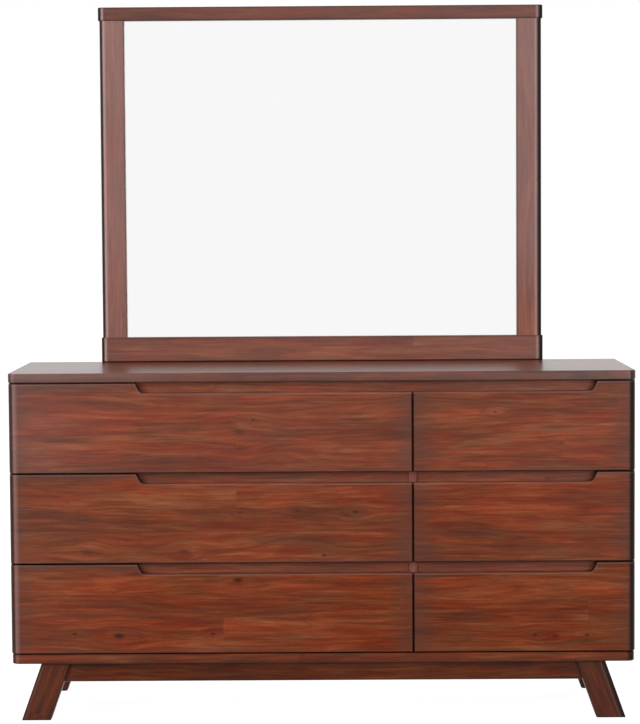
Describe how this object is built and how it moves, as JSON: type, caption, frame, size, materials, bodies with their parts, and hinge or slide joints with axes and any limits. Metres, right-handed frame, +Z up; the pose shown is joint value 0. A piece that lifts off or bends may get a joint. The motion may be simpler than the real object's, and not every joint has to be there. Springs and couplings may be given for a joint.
{
  "type": "dresser with mirror",
  "caption": "Wide low wooden dresser with handle-less notched drawers, splayed plank legs and a framed mirror standing on its back edge.",
  "frame": {"origin": "on the floor, under the middle of the whole object's box", "axes": "+X to the right seen from the front, +Y to the back, +Z up; the drawers open towards -Y"},
  "size_m": [1.502, 0.468, 1.742],
  "materials": {
    "stained_wood": "reddish brown stain with darker glazed edges under a satin lacquer",
    "inner_wood": "pale sanded hardwood under thin lacquer",
    "drawer_base_board": "thin pale plywood, sanded",
    "backing_board": "thin brown fibreboard, one side smooth",
    "mirror": "silvered glass with polished edges",
    "slide_steel": "bright zinc-plated rolled steel",
    "screw_steel": "yellow zinc-plated countersunk screws",
    "pad_felt": "brown pressed felt"
  },
  "bodies": {
    "case": {"top_panel": "stained_wood", "bottom_panel": "stained_wood", "side_panel_left": "stained_wood", "side_panel_right": "stained_wood", "partition": "stained_wood", "back_panel": "backing_board", "top_rail": "stained_wood", "drawer_rails": "stained_wood", "rear_rail": "inner_wood", "leg_front_left": "stained_wood", "leg_front_right": "stained_wood", "leg_rear_left": "stained_wood", "leg_rear_right": "stained_wood", "apron_front": "stained_wood", "apron_rear": "stained_wood", "apron_left": "stained_wood", "apron_right": "stained_wood", "corner_blocks": "inner_wood", "cross_brace": "inner_wood", "slide_case_members": "slide_steel", "front_pads": "pad_felt", "mirror_bottom_rail": "stained_wood", "mirror_top_rail": "stained_wood", "mirror_stile_left": "stained_wood", "mirror_stile_right": "stained_wood", "frame_tenons": "inner_wood", "mirror_glass": "mirror", "mirror_backing": "backing_board", "mirror_support_left": "inner_wood", "mirror_support_right": "inner_wood"},
    "lower_wide_drawer": {"lower_wide_drawer_front": "stained_wood", "lower_wide_drawer_box": "inner_wood", "lower_wide_drawer_bottom": "drawer_base_board", "lower_wide_slide_inner": "slide_steel"},
    "lower_wide_slides": {"lower_wide_slide_middle": "slide_steel"},
    "middle_wide_drawer": {"middle_wide_drawer_front": "stained_wood", "middle_wide_drawer_box": "inner_wood", "middle_wide_drawer_bottom": "drawer_base_board", "middle_wide_slide_inner": "slide_steel"},
    "middle_wide_slides": {"middle_wide_slide_middle": "slide_steel"},
    "upper_wide_drawer": {"upper_wide_drawer_front": "stained_wood", "upper_wide_drawer_box": "inner_wood", "upper_wide_drawer_bottom": "drawer_base_board", "upper_wide_slide_inner": "slide_steel"},
    "upper_wide_slides": {"upper_wide_slide_middle": "slide_steel"},
    "lower_narrow_drawer": {"lower_narrow_drawer_front": "stained_wood", "lower_narrow_drawer_box": "inner_wood", "lower_narrow_drawer_bottom": "drawer_base_board", "lower_narrow_slide_inner": "slide_steel"},
    "lower_narrow_slides": {"lower_narrow_slide_middle": "slide_steel"},
    "middle_narrow_drawer": {"middle_narrow_drawer_front": "stained_wood", "middle_narrow_drawer_box": "inner_wood", "middle_narrow_drawer_bottom": "drawer_base_board", "middle_narrow_slide_inner": "slide_steel"},
    "middle_narrow_slides": {"middle_narrow_slide_middle": "slide_steel"},
    "upper_narrow_drawer": {"upper_narrow_drawer_front": "stained_wood", "upper_narrow_drawer_box": "inner_wood", "upper_narrow_drawer_bottom": "drawer_base_board", "upper_narrow_slide_inner": "slide_steel"},
    "upper_narrow_slides": {"upper_narrow_slide_middle": "slide_steel"}
  },
  "joints": [
    {"name": "lower_wide_drawer_pull", "type": "slide", "parent": "case", "child": "lower_wide_drawer", "axis": [0, -1, 0], "range_m": [0, 0.38]},
    {"name": "lower_wide_slides_follow", "type": "slide", "parent": "case", "child": "lower_wide_slides", "axis": [0, -1, 0], "range_m": [0, 0.19]},
    {"name": "middle_wide_drawer_pull", "type": "slide", "parent": "case", "child": "middle_wide_drawer", "axis": [0, -1, 0], "range_m": [0, 0.38]},
    {"name": "middle_wide_slides_follow", "type": "slide", "parent": "case", "child": "middle_wide_slides", "axis": [0, -1, 0], "range_m": [0, 0.19]},
    {"name": "upper_wide_drawer_pull", "type": "slide", "parent": "case", "child": "upper_wide_drawer", "axis": [0, -1, 0], "range_m": [0, 0.38]},
    {"name": "upper_wide_slides_follow", "type": "slide", "parent": "case", "child": "upper_wide_slides", "axis": [0, -1, 0], "range_m": [0, 0.19]},
    {"name": "lower_narrow_drawer_pull", "type": "slide", "parent": "case", "child": "lower_narrow_drawer", "axis": [0, -1, 0], "range_m": [0, 0.38]},
    {"name": "lower_narrow_slides_follow", "type": "slide", "parent": "case", "child": "lower_narrow_slides", "axis": [0, -1, 0], "range_m": [0, 0.19]},
    {"name": "middle_narrow_drawer_pull", "type": "slide", "parent": "case", "child": "middle_narrow_drawer", "axis": [0, -1, 0], "range_m": [0, 0.38]},
    {"name": "middle_narrow_slides_follow", "type": "slide", "parent": "case", "child": "middle_narrow_slides", "axis": [0, -1, 0], "range_m": [0, 0.19]},
    {"name": "upper_narrow_drawer_pull", "type": "slide", "parent": "case", "child": "upper_narrow_drawer", "axis": [0, -1, 0], "range_m": [0, 0.38]},
    {"name": "upper_narrow_slides_follow", "type": "slide", "parent": "case", "child": "upper_narrow_slides", "axis": [0, -1, 0], "range_m": [0, 0.19]}
  ],
  "couplings": [
    {"joint": "lower_wide_slides_follow", "follows": "lower_wide_drawer_pull", "ratio": 0.5},
    {"joint": "middle_wide_slides_follow", "follows": "middle_wide_drawer_pull", "ratio": 0.5},
    {"joint": "upper_wide_slides_follow", "follows": "upper_wide_drawer_pull", "ratio": 0.5},
    {"joint": "lower_narrow_slides_follow", "follows": "lower_narrow_drawer_pull", "ratio": 0.5},
    {"joint": "middle_narrow_slides_follow", "follows": "middle_narrow_drawer_pull", "ratio": 0.5},
    {"joint": "upper_narrow_slides_follow", "follows": "upper_narrow_drawer_pull", "ratio": 0.5}
  ]
}
